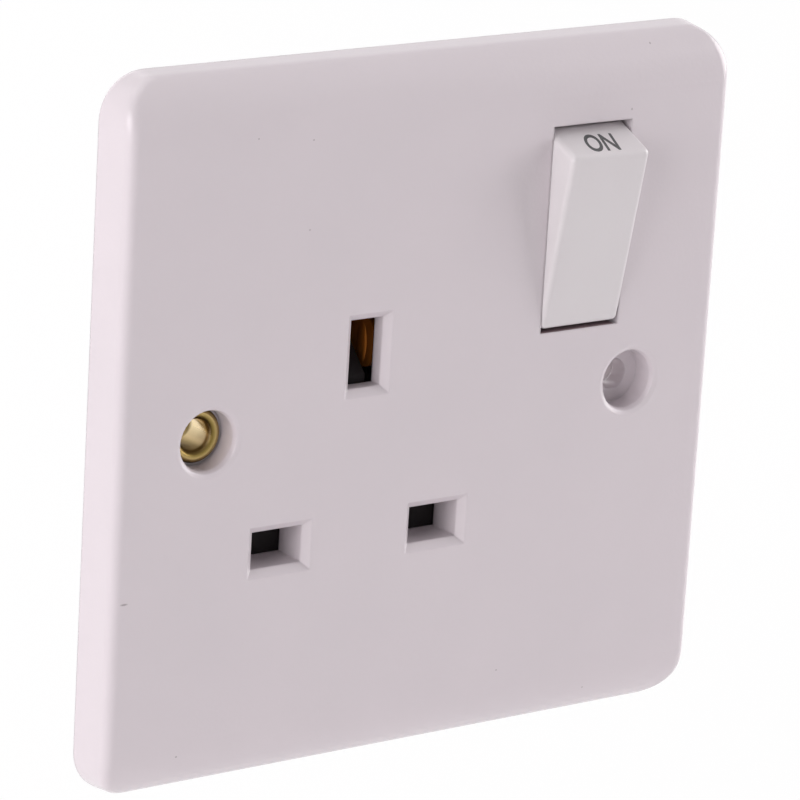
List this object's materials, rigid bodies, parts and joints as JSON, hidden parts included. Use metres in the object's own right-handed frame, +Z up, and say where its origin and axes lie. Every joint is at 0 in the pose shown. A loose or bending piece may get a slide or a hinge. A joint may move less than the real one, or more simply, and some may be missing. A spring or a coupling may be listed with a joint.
{
  "type": "switched wall socket",
  "caption": "Slim square wall socket plate with a rocker switch, shuttered rectangular pin apertures and recessed fixing holes, with its contacts and terminals behind.",
  "frame": {"origin": "midway between the two fixing holes, on the plane of the wall", "axes": "+X to the right seen from the room, +Y into the wall, +Z up; the plate faces -Y"},
  "size_m": [0.086, 0.0301, 0.086],
  "materials": {
    "plate_moulding": "moulded, satin gloss",
    "rocker_moulding": "moulded, satin gloss",
    "housing_moulding": "moulded, matt",
    "shutter_moulding": "moulded, matt black",
    "carrier_moulding": "moulded, matt black",
    "plunger_moulding": "moulded acetal",
    "strip_brass": "stamped and folded, bright",
    "eyelet_brass": "turned, bright",
    "terminal_brass": "extruded and drilled",
    "contact_silver": "riveted silver alloy",
    "spring_steel": "drawn wire",
    "screw_steel": "zinc plated"
  },
  "bodies": {
    "socket": {"front_plate": "plate_moulding", "rear_housing": "housing_moulding", "assembly_screw": "screw_steel", "fixed_contact_tip": "contact_silver", "line_contact": "strip_brass", "line_feed": "strip_brass", "neutral_contact": "strip_brass", "earth_contact": "strip_brass", "earth_strap": "strip_brass", "earth_eyelet": "eyelet_brass", "shutter_spring": "spring_steel", "shutter_carrier": "carrier_moulding", "line_terminal": "terminal_brass", "neutral_terminal": "terminal_brass", "earth_terminal": "terminal_brass"},
    "rocker": {"rocker": "rocker_moulding", "plunger_spring": "spring_steel"},
    "plunger": {"plunger": "plunger_moulding"},
    "moving_contact": {"moving_contact": "strip_brass", "moving_contact_tip": "contact_silver"},
    "shutter": {"shutter": "shutter_moulding"},
    "line_screw": {"line_terminal_screw": "screw_steel"},
    "neutral_screw": {"neutral_terminal_screw": "screw_steel"},
    "earth_screw": {"earth_terminal_screw": "screw_steel"}
  },
  "joints": [
    {"name": "rocker_turn", "type": "hinge", "parent": "socket", "child": "rocker", "pos_m": [0.0219, -0.00175, 0.02015], "axis": [1, 0, 0], "range_deg": [-21.2, 0]},
    {"name": "moving_contact_turn", "type": "hinge", "parent": "socket", "child": "moving_contact", "pos_m": [0.0219, 0.01, 0.02015], "axis": [1, 0, 0], "range_deg": [0, 18.02]},
    {"name": "plunger_slide", "type": "slide", "parent": "rocker", "child": "plunger", "axis": [0, 0.9829, 0.184], "range_m": [0, 0.00033], "stiffness_N_per_m": 300},
    {"name": "shutter_slide", "type": "slide", "parent": "socket", "child": "shutter", "axis": [0, 0, -1], "range_m": [0, 0.0055], "stiffness_N_per_m": 150, "springref_m": -0.01, "deforming": ["shutter_spring"]},
    {"name": "line_screw_travel", "type": "slide", "parent": "socket", "child": "line_screw", "axis": [0, -1, 0], "range_m": [0, 0.0034]},
    {"name": "neutral_screw_travel", "type": "slide", "parent": "socket", "child": "neutral_screw", "axis": [0, -1, 0], "range_m": [0, 0.0034]},
    {"name": "earth_screw_travel", "type": "slide", "parent": "socket", "child": "earth_screw", "axis": [0, -1, 0], "range_m": [0, 0.0034]}
  ],
  "couplings": [
    {"joint": "moving_contact_turn", "follows": "rocker_turn", "ratio": -0.85}
  ]
}
